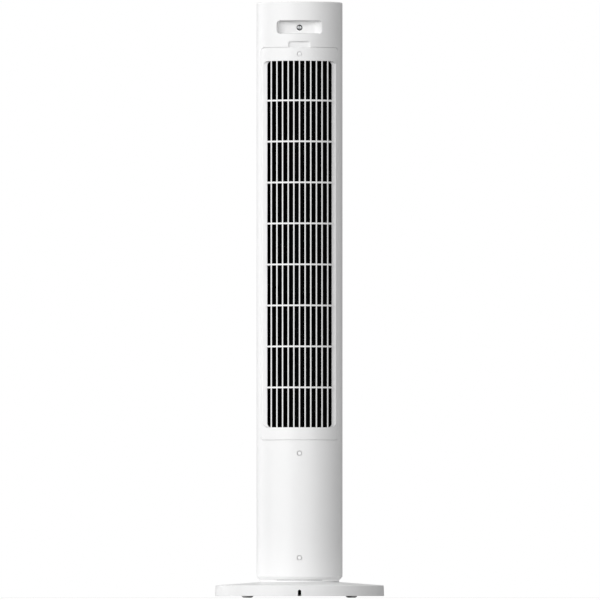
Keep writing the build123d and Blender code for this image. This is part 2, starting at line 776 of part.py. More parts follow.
with BuildPart() as top_panel:
    ring(panel_r, 0, panel_low, panel_high)
    fillet(circles(top_panel, panel_r, panel_high), radius=0.5)
    with Locations([(x, y, board_high) for x, y in board_posts]):
        Cylinder(3, panel_low - board_high, align=upright)
    with Locations([(x, y, board_low - 1.5) for x, y in board_posts]):
        Cylinder(1.2, 4, align=upright)
    with BuildSketch(Plane.XY.offset(panel_high)):
        with Locations((0, window_y)):
            RectangleRounded(window_size[0] + 0.4, window_size[1] + 0.4, 3.2)
    extrude(amount=-window_depth, mode=Mode.SUBTRACT)
    with BuildSketch(Plane.XY.offset(panel_low)):
        with Locations((0, window_y)):
            RectangleRounded(window_size[0] - 6, window_size[1] - 5, 2)
        with Locations([((step - 1.5) * button_pitch, button_y) for step in range(4)]):
            Circle(button_r + 0.3)
    extrude(amount=4, mode=Mode.SUBTRACT)

with BuildPart() as display_window:
    with BuildSketch(Plane.XY.offset(panel_high - window_depth)):
        with Locations((0, window_y)):
            RectangleRounded(*window_size, 3)
    extrude(amount=window_depth)

with BuildPart() as display_module:
    block((-26, 26), (0, 20), (board_high, 1089.5))

with BuildPart() as control_board:
    with BuildSketch(Plane.XY.offset(board_low)):
        with Locations((0, -8)):
            RectangleRounded(92, 76, 4)
        with Locations(*board_posts):
            Circle(1.25, mode=Mode.SUBTRACT)
    extrude(amount=board_high - board_low)

with BuildPart() as tact_switches:
    for step in range(4):
        x = (step - 1.5) * button_pitch
        block((x - 3, x + 3), (button_y - 3, button_y + 3), (board_high, 1083.4))
        ring(1.7, 0, 1083.4, 1084, center=(x, button_y))

buttons = {}
for step, button_name in enumerate(button_names):
    x = (step - 1.5) * button_pitch
    with BuildPart() as button:
        ring(button_r, 0, button_low, button_high, center=(x, button_y))
        fillet(button.faces().sort_by(Axis.Z)[-1].edges(), radius=0.6)
        ring(button_r + 1.3, 0, button_low, panel_low - 0.2, center=(x, button_y))
        ring(2, 0, 1084.9, button_low, center=(x, button_y))
    buttons[button_name] = button

# ---- Hand over ----

pieces = {
    "base_cover": base_cover,
    "base_plate": base_plate,
    "base_ballast": base_ballast,
    "base_feet": base_feet,
    "base_screws": base_screws,
    "mains_inlet": mains_inlet,
    "inlet_pins": inlet_pins,
    "pivot_hub": pivot_hub,
    "hub_screws": hub_screws,
    "hub_clips": hub_clips,
    "swing_gear": swing_gear,
    "lower_race": lower_race,
    "ball_cage": ball_cage,
    "bearing_balls": bearing_balls,
    "turntable": turntable,
    "upper_race": upper_race,
    "swing_bracket": swing_bracket,
    "swing_motor": swing_motor,
    "swing_pinion": swing_pinion,
    "pinion_shaft": pinion_shaft,
    "chassis_frame": chassis_frame,
    "chassis_screws": chassis_screws,
    "driver_board": driver_board,
    "board_parts": board_parts,
    "rear_shell": rear_shell,
    "front_shell": front_shell,
    "column_screws": column_screws,
    "front_grille": front_grille,
    "rear_grille": rear_grille,
    "grille_screw": grille_screw,
    "motor_plate": motor_plate,
    "motor_grommets": motor_grommets,
    "motor_screws": motor_screws,
    "motor_cap": motor_cap,
    "motor_can": motor_can,
    "motor_bearings": motor_bearings,
    "motor_stator": motor_stator,
    "motor_coils": motor_coils,
    "duct_base": duct_base,
    "duct_top": duct_top,
    "top_bush": top_bush,
    "scroll_wall": scroll_wall,
    "tongue_wall": tongue_wall,
    "impeller": impeller,
    "motor_shaft": motor_shaft,
    "motor_rotor": motor_rotor,
    "top_pin": top_pin,
    "head_frame": head_frame,
    "handle_cup": handle_cup,
    "handle_washer": handle_washer,
    "handle_screw": handle_screw,
    "top_panel": top_panel,
    "display_window": display_window,
    "display_module": display_module,
    "control_board": control_board,
    "tact_switches": tact_switches,
    **buttons,
}

for name, piece in pieces.items():
    piece.part.label = name
    export_step(piece.part, f"parts/{name}.step")
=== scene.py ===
import json
import math

import bmesh
import bpy
from mathutils import Matrix, Vector


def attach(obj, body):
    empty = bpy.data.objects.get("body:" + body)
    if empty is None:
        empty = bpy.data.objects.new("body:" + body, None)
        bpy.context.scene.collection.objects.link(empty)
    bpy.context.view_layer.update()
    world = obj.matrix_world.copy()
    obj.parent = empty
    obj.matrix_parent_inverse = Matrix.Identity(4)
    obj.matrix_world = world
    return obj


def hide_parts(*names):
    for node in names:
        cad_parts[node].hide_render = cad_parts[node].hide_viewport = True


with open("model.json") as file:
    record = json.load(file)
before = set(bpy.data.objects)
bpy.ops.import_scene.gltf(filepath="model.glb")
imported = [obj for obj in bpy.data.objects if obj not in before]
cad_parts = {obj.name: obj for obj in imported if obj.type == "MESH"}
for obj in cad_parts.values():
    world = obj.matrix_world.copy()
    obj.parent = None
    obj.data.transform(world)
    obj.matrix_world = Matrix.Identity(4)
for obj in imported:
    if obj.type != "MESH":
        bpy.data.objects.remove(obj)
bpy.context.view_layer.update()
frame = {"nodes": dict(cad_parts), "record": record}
nodes = frame["nodes"]
mm = 0.001
print("frame loaded, nodes:", len(nodes))

# camera, lamps and floor; each sun: turn from the camera's side towards its left, height, strength, softness
studio = {
    "lens": 1000, "sensor": 36, "frameHeight": 1.1027, "cameraHeight": 0.0006, "aimHeight": 0.5472,
    "aimSide": -0.0009,
    "ambient": 0.2, "floorSize": 9.0, "floorTone": 0.4,
    "suns": [
        (35, 10, 1.27, 30), (-20, 10, 0.86, 30), (65, 10, 0.68, 30), (125, 10, 0.95, 40), (180, 72, 1.5, 60),
    ],
}


def lookAt(thing, target):
    thing.rotation_euler = (Vector(target) - thing.location).to_track_quat("-Z", "Y").to_euler()


def makeCamera():
    cam = bpy.data.objects.new("camera", bpy.data.cameras.new("camera"))
    cam.data.lens = studio["lens"]
    cam.data.sensor_width = studio["sensor"]
    away = studio["lens"] / studio["sensor"] * studio["frameHeight"]
    cam.location = (studio["aimSide"], away, studio["cameraHeight"])
    lookAt(cam, (studio["aimSide"], 0, studio["aimHeight"]))
    cam.data.clip_start = 0.1
    cam.data.clip_end = 200
    bpy.context.collection.objects.link(cam)
    bpy.context.scene.camera = cam


def makeLights():
    for number, (turn, rise, strength, softness) in enumerate(studio["suns"]):
        sun = bpy.data.objects.new(f"sun{number}", bpy.data.lights.new(f"sun{number}", "SUN"))
        sun.data.energy = strength
        sun.data.angle = math.radians(softness)
        side, up = math.radians(turn), math.radians(rise)
        flat = math.cos(up)
        sun.location = Vector((math.sin(side) * flat, math.cos(side) * flat, math.sin(up))) * 5
        lookAt(sun, (0, 0, 0))
        bpy.context.collection.objects.link(sun)
    world = bpy.data.worlds.new("studio")
    bpy.context.scene.world = world
    world.use_nodes = True
    tree = world.node_tree
    tree.nodes.clear()
    out = tree.nodes.new("ShaderNodeOutputWorld")
    seen = tree.nodes.new("ShaderNodeBackground")
    seen.inputs["Color"].default_value = (1, 1, 1, 1)
    lit = tree.nodes.new("ShaderNodeBackground")
    lit.inputs["Color"].default_value = (1, 1, 1, 1)
    lit.inputs["Strength"].default_value = studio["ambient"]
    path = tree.nodes.new("ShaderNodeLightPath")
    mix = tree.nodes.new("ShaderNodeMixShader")
    tree.links.new(path.outputs["Is Camera Ray"], mix.inputs[0])
    tree.links.new(lit.outputs[0], mix.inputs[1])
    tree.links.new(seen.outputs[0], mix.inputs[2])
    tree.links.new(mix.outputs[0], out.inputs["Surface"])
    bpy.context.scene.view_settings.view_transform = "Standard"


class Shader:
    # one procedural material: a principled shader with small helpers for its textures
    def __init__(self, name):
        self.material = bpy.data.materials.new(name)
        self.material.use_nodes = True
        self.tree = self.material.node_tree
        self.skin = self.tree.nodes["Principled BSDF"]
        self.place = self.tree.nodes.new("ShaderNodeTexCoord").outputs["Object"]

    def set(self, **values):
        for socket, value in values.items():
            self.skin.inputs[socket.replace("_", " ")].default_value = value
        return self

    def node(self, kind, **inputs):
        made = self.tree.nodes.new(kind)
        for socket, value in inputs.items():
            target = made.inputs[socket.replace("_", " ")]
            if isinstance(value, bpy.types.NodeSocket):
                self.tree.links.new(value, target)
            else:
                target.default_value = value
        return made

    def noise(self, size, detail=2.0, stretch=(1, 1, 1), rough=0.5):
        grain = self.node("ShaderNodeMapping", Vector=self.place, Scale=stretch)
        return self.node(
            "ShaderNodeTexNoise", Vector=grain.outputs[0], Scale=1 / size, Detail=detail, Roughness=rough)

    def spread(self, value, low, high, fromLow=0.3, fromHigh=0.7):
        span = self.node(
            "ShaderNodeMapRange", Value=value, From_Min=fromLow, From_Max=fromHigh, To_Min=low, To_Max=high)
        return span.outputs[0]

    def blendColours(self, factor, first, second):
        mix = self.tree.nodes.new("ShaderNodeMix")
        mix.data_type = "RGBA"
        self.tree.links.new(factor, mix.inputs[0])
        mix.inputs[6].default_value = (*first, 1)
        mix.inputs[7].default_value = (*second, 1)
        return mix.outputs[2]

    def join(self, output, socket):
        self.tree.links.new(output, self.skin.inputs[socket])

    def bump(self, height, depth, strength=1.0, under=None):
        made = self.node("ShaderNodeBump", Height=height, Distance=depth, Strength=strength)
        if under is not None:
            self.tree.links.new(under, made.inputs["Normal"])
        self.join(made.outputs[0], "Normal")
        return made.outputs[0]


def mouldedPlastic(name, look):
    # spark-eroded tool grain, a slow sink-mark ripple and patches of slightly different gloss
    made = Shader(name).set(Specular_IOR_Level=look["specular"])
    grain = made.noise(look["grain"], detail=3)
    patches = made.noise(look["patch"], detail=1.5)
    tone = made.spread(patches.outputs[0], 0, 1)
    shade = tuple(channel * (1 - look["mottle"]) for channel in look["colour"])
    made.join(made.blendColours(tone, shade, look["colour"]), "Base Color")
    cloudy = made.node("ShaderNodeMath", Value=patches.outputs[0])
    cloudy.operation = "ADD"
    made.tree.links.new(grain.outputs[0], cloudy.inputs[1])
    low, high = look["rough"] - 0.05, look["rough"] + 0.05
    made.join(made.spread(cloudy.outputs[0], low, high, 0.7, 1.3), "Roughness")
    fine = made.bump(grain.outputs[0], look["depth"])
    made.bump(made.noise(look["patch"] * 0.7, detail=0).outputs[0], look["ripple"], under=fine)
    return made.material


def wornMetal(name, look):
    # turned or rolled metal with fine lines along one way and dull patches
    made = Shader(name).set(Metallic=look["metallic"])
    lines = made.noise(look["line"], detail=4, stretch=look["along"])
    dull = made.noise(0.02, detail=3)
    tone = made.spread(dull.outputs[0], 0, 1)
    shade = tuple(channel * 0.82 for channel in look["colour"])
    made.join(made.blendColours(tone, shade, look["colour"]), "Base Color")
    made.join(made.spread(lines.outputs[0], look["rough"] - 0.08, look["rough"] + 0.1), "Roughness")
    made.bump(lines.outputs[0], look["depth"])
    return made.material


def rubber(name, look):
    made = Shader(name).set(Specular_IOR_Level=0.3)
    dust = made.noise(0.004, detail=4)
    shade = tuple(channel * 0.85 for channel in look["colour"])
    made.join(made.blendColours(made.spread(dust.outputs[0], 0, 1), shade, look["colour"]), "Base Color")
    made.join(made.spread(dust.outputs[0], 0.62, 0.8), "Roughness")
    made.bump(made.noise(0.0006, detail=2).outputs[0], 0.00003)
    return made.material


def circuitBoard(name, look):
    # solder mask with faint tracks under it
    made = Shader(name).set(Coat_Weight=0.4, Coat_Roughness=0.15)
    tracks = made.tree.nodes.new("ShaderNodeTexBrick")
    made.tree.links.new(made.place, tracks.inputs["Vector"])
    tracks.inputs["Scale"].default_value = 120
    tracks.inputs["Mortar Size"].default_value = 0.03
    bright = tuple(channel * 1.5 for channel in look["colour"])
    made.join(made.blendColours(tracks.outputs["Fac"], look["colour"], bright), "Base Color")
    made.join(made.spread(made.noise(0.01).outputs[0], 0.3, 0.45), "Roughness")
    made.bump(tracks.outputs["Fac"], 0.00003)
    return made.material


def smokedWindow(name, look):
    # polished dark cover with faint handling smears
    made = Shader(name).set(Coat_Weight=0.6, Coat_Roughness=0.03, Specular_IOR_Level=0.6)
    smear = made.noise(0.012, detail=5, stretch=(1, 3, 1))
    lift = tuple(channel + 0.006 for channel in look["colour"])
    made.join(made.blendColours(made.spread(smear.outputs[0], 0, 1), look["colour"], lift), "Base Color")
    made.join(made.spread(smear.outputs[0], 0.05, 0.13), "Roughness")
    made.bump(made.noise(0.03, detail=0).outputs[0], 0.00001)
    return made.material


def wireWinding(name, look):
    # enamelled copper wire laid in close turns, the darker band of each turn painted shade in the groove
    # between wires
    made = Shader(name).set(Metallic=0.85, Coat_Weight=0.5, Coat_Roughness=0.2)
    turns = made.tree.nodes.new("ShaderNodeTexWave")
    turns.bands_direction = "Z"
    turns.inputs["Scale"].default_value = 400
    turns.inputs["Distortion"].default_value = 0.6
    made.tree.links.new(made.place, turns.inputs["Vector"])
    shade = tuple(channel * 0.6 for channel in look["colour"])
    # the colour darkens towards each groove between turns: painted shade
    made.join(made.blendColours(turns.outputs["Fac"], shade, look["colour"]), "Base Color")
    made.join(made.spread(turns.outputs["Fac"], 0.3, 0.45, 0, 1), "Roughness")
    made.bump(turns.outputs["Fac"], 0.0002)
    return made.material


def keyedMetal(name, colour, rough, along=(1, 1, 12), metallic=1.0, line=0.0009, depth=0.000008):
    return wornMetal(name, {
        "colour": colour, "rough": rough, "along": along, "metallic": metallic, "line": line, "depth": depth,
    })


def plastic(name, colour, rough, mottle=0.02, specular=0.5, grain=0.0005,
            depth=0.00001, ripple=0.00002, patch=0.05):
    return mouldedPlastic(name, {
        "colour": colour, "rough": rough, "mottle": mottle, "specular": specular,
        "grain": grain, "depth": depth, "ripple": ripple, "patch": patch,
    })


finishes = {
    "white_shell": plastic("shellWhite", (0.88, 0.88, 0.88), 0.46, mottle=0.012),
    "white_button": plastic("buttonWhite", (0.84, 0.84, 0.84), 0.34, mottle=0.01, grain=0.0003),
    "black_plastic": plastic("airBlack", (0.0025, 0.0025, 0.0028), 0.8, mottle=0.25, specular=0.04),
    "grey_frame": plastic("frameGrey", (0.42, 0.42, 0.43), 0.55, mottle=0.06),
    "nylon": plastic("naturalNylon", (0.78, 0.75, 0.66), 0.38, mottle=0.05, patch=0.008),
    "steel": keyedMetal("bareSteel", (0.56, 0.57, 0.59), 0.32),
    "zinc_screw": keyedMetal("zincScrew", (0.46, 0.47, 0.48), 0.36, along=(1, 6, 1)),
    "white_screw": plastic("screwEnamel", (0.96, 0.96, 0.96), 0.3, mottle=0.01, specular=0.8, grain=0.0004),
    "cast_weight": keyedMetal(
        "coatedWeight", (0.05, 0.05, 0.052), 0.6, along=(1, 1, 1), metallic=0.4, line=0.002, depth=0.0001),
    "foot_rubber": rubber("footRubber", {"colour": (0.92, 0.92, 0.91)}),
    # near-black rubber; on the washer under the carry screw it is painted shade in the counterbore
    "black_rubber": rubber("blackRubberPaintedShade", {"colour": (0.008, 0.008, 0.008)}),
    "brass_pin": keyedMetal("brassPin", (0.72, 0.53, 0.26), 0.25),
    "copper_wire": wireWinding("copperWire", {"colour": (0.62, 0.27, 0.12)}),
    "motor_metal": keyedMetal("motorCase", (0.62, 0.62, 0.63), 0.42, along=(1, 1, 3), line=0.0015),
    "circuit_board": circuitBoard("boardGreen", {"colour": (0.012, 0.09, 0.035)}),
    "dark_window": smokedWindow("smokedWindow", {"colour": (0.012, 0.012, 0.014)}),
}


def dressNodes():
    slotOf = {part["node"]: part["material_slot"] for part in frame["record"]["subparts"]}
    for name, thing in nodes.items():
        thing.data.materials.clear()
        thing.data.materials.append(finishes[slotOf[name]])
    print("CAD nodes dressed")


def rounded(corners, steps=5):
    # a closed outline whose corners (x, y, radius) are turned into small arcs
    path = []
    for index, (x, y, *radius) in enumerate(corners):
        here = Vector((x, y))
        if not radius:
            path.append((x, y))
            continue
        before = (Vector(corners[index - 1][:2]) - here).normalized()
        after = (Vector(corners[(index + 1) % len(corners)][:2]) - here).normalized()
        half = before.angle(after) / 2
        middle = here + (before + after).normalized() * (radius[0] / math.sin(half))
        first = here + before * (radius[0] / math.tan(half)) - middle
        last = here + after * (radius[0] / math.tan(half)) - middle
        for step in range(steps + 1):
            arm = first.lerp(last, step / steps).normalized() * radius[0]
            path.append(tuple(middle + arm))
    return path


def window(half, low, high, corner, steps=6):
    corners = [(-half, low, corner), (half, low, corner), (half, high, corner), (-half, high, corner)]
    return rounded(corners, steps)


def circle(radius, x=0, y=0, steps=32):
    turns = [2 * math.pi * step / steps for step in range(steps)]
    return [(x + radius * math.cos(turn), y + radius * math.sin(turn)) for turn in turns]


def grown(loop, reach):
    # the outline moved outwards by reach, or inwards where it is negative
    area = sum(a[0] * b[1] - b[0] * a[1] for a, b in zip(loop, loop[1:] + loop[:1]))
    reach = math.copysign(reach, area * reach)
    moved = []
    for before, here, after in zip(loop[-1:] + loop[:-1], loop, loop[1:] + loop[:1]):
        first = Vector((here[1] - before[1], before[0] - here[0])).normalized()
        second = Vector((after[1] - here[1], here[0] - after[0])).normalized()
        middle = (first + second).normalized()
        step = middle * (reach / max(middle.dot(first), 0.3))
        moved.append((here[0] + step.x, here[1] + step.y))
    return moved


def wrapped(loop, radius):
    # an outline seen straight on, laid out along the curved skin it belongs to
    return [(radius * math.asin(max(-1, min(1, x / radius))), z) for x, z in loop]


def bowed(radius, x):
    return math.sqrt(max(radius * radius - x * x, 0))


def spaced(low, high, step):
    count = max(1, round((high - low) / step))
    return [low + (high - low) * number / count for number in range(count + 1)]


class Piece:
    # gathers closed solids in millimetres and hands them over as one object
    def __init__(self, name):
        self.name = name
        self.mesh = bmesh.new()

    def absorb(self, part):
        bmesh.ops.recalc_face_normals(part, faces=part.faces)
        holder = bpy.data.meshes.new("holder")
        part.to_mesh(holder)
        part.free()
        self.mesh.from_mesh(holder)
        bpy.data.meshes.remove(holder)

    @staticmethod
    def band(part, near, far):
        count = len(near)
        for here in range(count):
            there = (here + 1) % count
            part.faces.new((near[here], near[there], far[there], far[here]))

    @staticmethod
    def fill(part, rings, normal):
        # a flat face between an outer ring and the rings inside it
        edges = []
        for ring in rings:
            for here, there in zip(ring, ring[1:] + ring[:1]):
                edges.append(part.edges.get((here, there)) or part.edges.new((here, there)))
        bmesh.ops.triangle_fill(part, use_beauty=True, use_dissolve=False, edges=edges, normal=normal)

    def sheet(self, outline, holes, thick, edge, place, across=(), up=()):
        # a sheet with rounded edges, cut into strips while flat and then laid out by place(u, v, depth)
        part = bmesh.new()
        rows = [(edge, 0), (edge * 0.29, edge * 0.29), (0, edge), (0, thick)]
        faceRings, backRings = [], []
        for number, loop in enumerate([outline, *holes]):
            rings = []
            for inset, depth in rows:
                points = grown(loop, inset if number else -inset)
                rings.append([part.verts.new((u, v, -depth)) for u, v in points])
            for near, far in zip(rings, rings[1:]):
                self.band(part, near, far)
            faceRings.append(rings[0])
            backRings.append(rings[-1])
        self.fill(part, faceRings, (0, 0, 1))
        self.fill(part, backRings, (0, 0, -1))
        for axis, cuts in enumerate((across, up)):
            for cut in cuts:
                spot, normal = Vector(), Vector()
                spot[axis], normal[axis] = cut, 1
                geometry = [*part.verts, *part.edges, *part.faces]
                bmesh.ops.bisect_plane(part, geom=geometry, dist=1e-4, plane_co=spot, plane_no=normal)
        for vert in part.verts:
            vert.co = place(vert.co.x, vert.co.y, -vert.co.z)
        self.absorb(part)

    def lathe(self, corners, place=None, segments=48, steps=5):
        # a closed outline of (radius, height) corners turned round the upright axis
        part = bmesh.new()
        rings = []
        for radius, height in rounded(corners, steps):
            if radius < 1e-6:
                rings.append([part.verts.new((0, 0, height))])
                continue
            rings.append([part.verts.new((x, y, height)) for x, y in circle(radius, steps=segments)])
        for near, far in zip(rings, rings[1:] + rings[:1]):
            if len(near) == len(far) == 1:
                continue
            if len(near) > 1 and len(far) > 1:
                self.band(part, near, far)
                continue
            tip, ring = (near[0], far) if len(near) == 1 else (far[0], near)
            for here, there in zip(ring, ring[1:] + ring[:1]):
                part.faces.new((tip, here, there))
        if place:
            for vert in part.verts:
                vert.co = place(*vert.co)
        self.absorb(part)

    def loft(self, sections):
        # a solid through outlines of the same number of points
        part = bmesh.new()
        rings = [[part.verts.new(point) for point in section] for section in sections]
        for near, far in zip(rings, rings[1:]):
            self.band(part, near, far)
        part.faces.new(rings[0])
        part.faces.new(rings[-1])
        self.absorb(part)

    def deliver(self, slot, body, *replaced, sharp=42):
        # makes the object, dresses it and ties it to its moving body
        data = bpy.data.meshes.new(self.name)
        bmesh.ops.scale(self.mesh, vec=(mm, mm, mm), verts=self.mesh.verts)
        self.mesh.to_mesh(data)
        self.mesh.free()
        data.shade_smooth()
        data.set_sharp_from_angle(angle=math.radians(sharp))
        data.materials.append(finishes[slot])
        made = bpy.data.objects.new(self.name, data)
        bpy.context.collection.objects.link(made)
        evened = made.modifiers.new("evened", "WEIGHTED_NORMAL")
        evened.keep_sharp = True
        evened.weight = 75
        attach(made, body)
        if replaced:
            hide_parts(*replaced)
        print(self.name, "made, faces:", len(data.polygons))
        return made


# the column's skin: (radius, height) corners from the underside to the inner lip, and the skin's thickness
column = {
    "radius": 79.0, "thick": 2.6, "seamGap": 0.125, "softEdge": 0.35, "strip": 3.5,
    "path": [
        (71.2, 32.8), (73.5, 32.8, 0.8), (79.0, 38.8, 1.2), (79.0, 1094.0, 2.4), (73.4, 1094.0, 0.5),
        (73.4, 1090.0),
    ],
}


def measured(path, level):
    # each (radius, height) point with its distance along the path, equal to the height at the given level
    points, total = [], 0
    for number, point in enumerate(path):
        if number:
            total += math.dist(path[number - 1], point)
        points.append((total, *point))
    shift = next(z - t for t, r, z in points if z >= level)
    return [(t + shift, r, z) for t, r, z in points]


columnPath = measured(rounded(column["path"], 6), 50)


def along(path, distance):
    # radius, height and outward direction at a distance along a measured path
    here = 0
    while here < len(path) - 2 and path[here + 1][0] < distance - 1e-6:
        here += 1
    (t0, r0, z0), (t1, r1, z1) = path[here], path[here + 1]
    share = (distance - t0) / (t1 - t0)
    way = Vector((r1 - r0, z1 - z0)).normalized()
    if share > 1 - 1e-4 and here < len(path) - 2:
        after = path[here + 2]
        way = (way + Vector((after[1] - r1, after[2] - z1)).normalized()).normalized()
    return r0 + (r1 - r0) * share, z0 + (z1 - z0) * share, way.y, -way.x


def curved(radius, side, path=None):
    # lays a flat sheet round the column; its depth runs along Y near the middle, and radially near the seams
    def place(u, v, depth):
        angle = u / radius
        reach, level, outward, upward = along(path, v) if path else (radius, v, 1, 0)
        wide = radius * math.sin(angle)
        parallel = max(0, min(1, (70 - abs(wide)) / 10)) if outward > 0.99 else 0
        if parallel and depth:
            straight = math.asin(max(-1, min(1, wide / (radius - depth))))
            angle += (straight - angle) * parallel
        reach -= depth * outward
        return reach * math.sin(angle), side * reach * math.cos(angle), level - depth * upward
    return place


def shellHalf(piece, side, holes):
    half = column["radius"] * math.acos(column["seamGap"] / column["radius"])
    low, high = columnPath[0][0], columnPath[-1][0]
    outline = [(-half, low), (half, low), (half, high), (-half, high)]
    bends = [t for t, r, z in columnPath[1:-1]]
    flat = [wrapped(hole, column["radius"]) for hole in holes]
    strips = spaced(-half, half, column["strip"])[1:-1]
    place = curved(column["radius"], side, columnPath)
    piece.sheet(outline, flat, column["thick"], column["softEdge"], place, strips, bends)


def liner(piece, side, half, notch):
    # the rebate behind a grille panel
    radius, thick, low, high = seat["linerR"], 2.7, 286.6, 1022.0
    outline = [(-74, low), (74, low), (74, high), (-74, high)]
    if notch:
        outline[3:3] = [(notch, high), (notch, 1002.5), (-notch, 1002.5), (-notch, high)]
    opening = window(half - 3.1, 303, 990.5, 4)
    strips = spaced(-110, 110, column["strip"])
    place = curved(radius, side)
    piece.sheet(wrapped(outline, radius), [wrapped(opening, radius)], thick, 0.2, place, strips)


def trough(look, x):
    # how far back the floor of a tray lies: flat, or rising in an arc towards its ends
    flat = look["half"] - look.get("endR", 0)
    if "endR" not in look or abs(x) <= flat:
        return look["floor"]
    return look["floor"] + look["endR"] - bowed(look["endR"], min(abs(x) - flat, look["endR"]))


def tray(piece, look):
    # a closed dish let into the column: inner and outer skins joined round the mouth
    part = bmesh.new()
    rims = []
    for grow in (0, look["wall"]):
        def loopAt(inset):
            size = look["half"] + grow - inset
            low, high = look["low"] - grow + inset, look["high"] + grow - inset
            return window(size, low, high, look["corner"] + grow - inset, 8)

        rings = [[part.verts.new((x, bowed(look["mouthR"], x), z)) for x, z in loopAt(0)]]
        for step in range(7):
            turn = math.pi / 2 * step / 6
            rise = look["fillet"] * (1 - math.sin(turn)) - grow
            loop = loopAt(look["fillet"] * (1 - math.cos(turn)))
            level = [min(trough(look, x) + rise, bowed(look["mouthR"], x) - 0.01) for x, z in loop]
            rings.append([part.verts.new((x, y, z)) for (x, z), y in zip(loop, level)])
        for near, far in zip(rings, rings[1:]):
            Piece.band(part, near, far)
        rims.append(rings[0])
        inner = [rings[-1]]
        if "boreR" in look:
            radius, end = (look["bossR"], look["bossEnd"]) if grow else (look["boreR"], look["boreFloor"])
            floor = look["floor"] - grow
            rows = [(radius + 0.3, floor), (radius, floor - 0.3), (radius, end)]
            bore = []
            for size, y in rows:
                bore.append([part.verts.new((x, y, z)) for x, z in circle(size, 0, look["screwZ"])])
            for near, far in zip(bore, bore[1:]):
                Piece.band(part, near, far)
            part.faces.new(bore[-1])
            inner.append(bore[0])
        floorPlate(part, inner, look, grow)
    Piece.band(part, *rims)
    piece.absorb(part)


def floorPlate(part, rings, look, grow):
    # the floor is filled while flat, cut into strips and then bent to the trough
    verts = [vert for ring in rings for vert in ring]
    depths = {vert: vert.co.y for vert in verts}
    for vert in verts:
        vert.co.y = 0
    before = set(part.faces)
    Piece.fill(part, rings, (0, 1, 0))
    if "endR" in look:
        for cut in spaced(-look["half"], look["half"], 2.5)[1:-1]:
            fresh = [face for face in part.faces if face not in before]
            inside = {vert for face in fresh for vert in face.verts}
            inside |= {edge for face in fresh for edge in face.edges}
            if abs(cut) < look["half"] - look["endR"] - 3:
                continue
            bmesh.ops.bisect_plane(
                part, geom=[*fresh, *inside], dist=1e-4, plane_co=(cut, 0, 0), plane_no=(1, 0, 0))
    for face in [face for face in part.faces if face not in before]:
        for vert in face.verts:
            if vert not in depths:
                depths[vert] = trough(look, vert.co.x) - grow
    for vert, depth in depths.items():
        vert.co.y = depth


def backScrew(x, y, z):
    # a lathe's upright axis laid along Y, so that height becomes depth behind the outer face
    return lambda a, b, c: (x + a, y + c, z + b)


def standing(x, y):
    # a lathe's upright axis moved to (x, y)
    return lambda a, b, c: (x + a, y + b, c)


# the seats of the two grille panels, the grille's screw and the column's screws
seat = {
    "rearHalf": 70.85, "frontHalf": 46.25, "low": 289.0, "high": 1009.9, "corner": 5.3, "linerR": 76.38,
    "wellR": 4.85, "wellFloor": 77.6, "columnScrews": [73.2, 264.8], "grilleScrew": 996.9, "ringR": 3.4,
    "columnWell": {"boreR": 1.7, "rimR": 7.0, "back": 3.6, "rimBack": 2.6, "ring": 2.4},
    "grilleWell": {"boreR": 1.5, "rimR": 6.0, "back": 3.2, "rimBack": 2.3, "ring": 2.2},
}
# the carry recess, its ends swept up in an arc, with a near-black washer under its screw that paints the shade
# in the counterbore, and the small pocket for a finger over the grille
recess = {
    "half": 42.0, "low": 1034.5, "high": 1059.0, "corner": 6.6, "floor": 54.5, "fillet": 2.0, "endR": 18.0,
    "wall": 2.1, "mouthR": 76.36, "screwZ": 1046.3, "boreR": 5.4, "boreFloor": 50.5, "bossR": 7.3,
    "bossEnd": 48.4, "shadeWasherBore": 1.7, "shadeWasherR": 5.2, "shadeWasherThick": 1.2,
}
pocket = {
    "half": 20.3, "low": 1004.0, "high": 1020.5, "corner": 4.2, "floor": 73.6, "fillet": 3.9, "wall": 2.1,
    "mouthR": 76.34,
}


def screwWell(piece, look, z):
    # the floor of a screw's well, with a ring groove round the head
    ringR, mouthR = seat["ringR"], seat["wellR"] + 0.4
    piece.lathe([
        (look["boreR"], -look["back"]), (look["rimR"], -look["back"]), (look["rimR"], -look["rimBack"]),
        (mouthR, -look["ring"]), (ringR, -look["ring"]), (ringR, 0), (look["boreR"], 0),
    ], backScrew(0, seat["wellFloor"], z))


def makeRearShell():
    piece = Piece("rearShell")
    half, high, corner = seat["rearHalf"], seat["high"], seat["corner"]
    notch, top, turnR = pocket["half"], pocket["high"], pocket["corner"]
    opening = rounded([
        (-half, seat["low"], corner), (half, seat["low"], corner), (half, high, corner), (notch, high, 0.4),
        (notch, top, turnR), (-notch, top, turnR), (-notch, high, 0.4), (-half, high, corner),
    ])
    wells = [circle(seat["wellR"], 0, z) for z in seat["columnScrews"]]
    carry = window(recess["half"], recess["low"], recess["high"], recess["corner"])
    shellHalf(piece, 1, [opening, carry, *wells])
    liner(piece, 1, seat["rearHalf"], notch + 1.2)
    tray(piece, pocket)
    for z in seat["columnScrews"]:
        screwWell(piece, seat["columnWell"], z)
    piece.deliver("white_shell", "tower", "rear_shell")


def makeFrontShell():
    piece = Piece("frontShell")
    shellHalf(piece, -1, [window(seat["frontHalf"], seat["low"], seat["high"], seat["corner"])])
    liner(piece, -1, seat["frontHalf"], 0)
    piece.deliver("white_shell", "tower", "front_shell")


# the slotted panels: an opening with upright bars standing out before level ribs
grille = {
    "low": 289.7, "high": 1009.2, "corner": 5.0, "fieldLow": 312.4, "fieldHigh": 984.8, "fieldCorner": 7.5,
    "ledgeCorner": 8.5,
    "barR": 78.7, "barBack": 72.0, "barWidth": 2.4, "barPitch": 10.35, "barSoft": 0.7,
    "ribR": 78.4, "ribBack": 70.0, "ribHeight": 3.1, "ribPitch": 75.21, "ribMiddle": 648.9, "ribSoft": 0.6,
    "rearHalf": 70.6, "rearField": 59.0, "rearBars": 11, "frontHalf": 46.0, "frontField": 36.2, "frontBars": 7,
    "pegX": 45, "pegZ": (296.5, 1000), "ledgeHalf": 66.7, "ledgeY": 42.33, "frameY": 38.5, "endWall": 2.6,
    "frameR": 70.0,
}


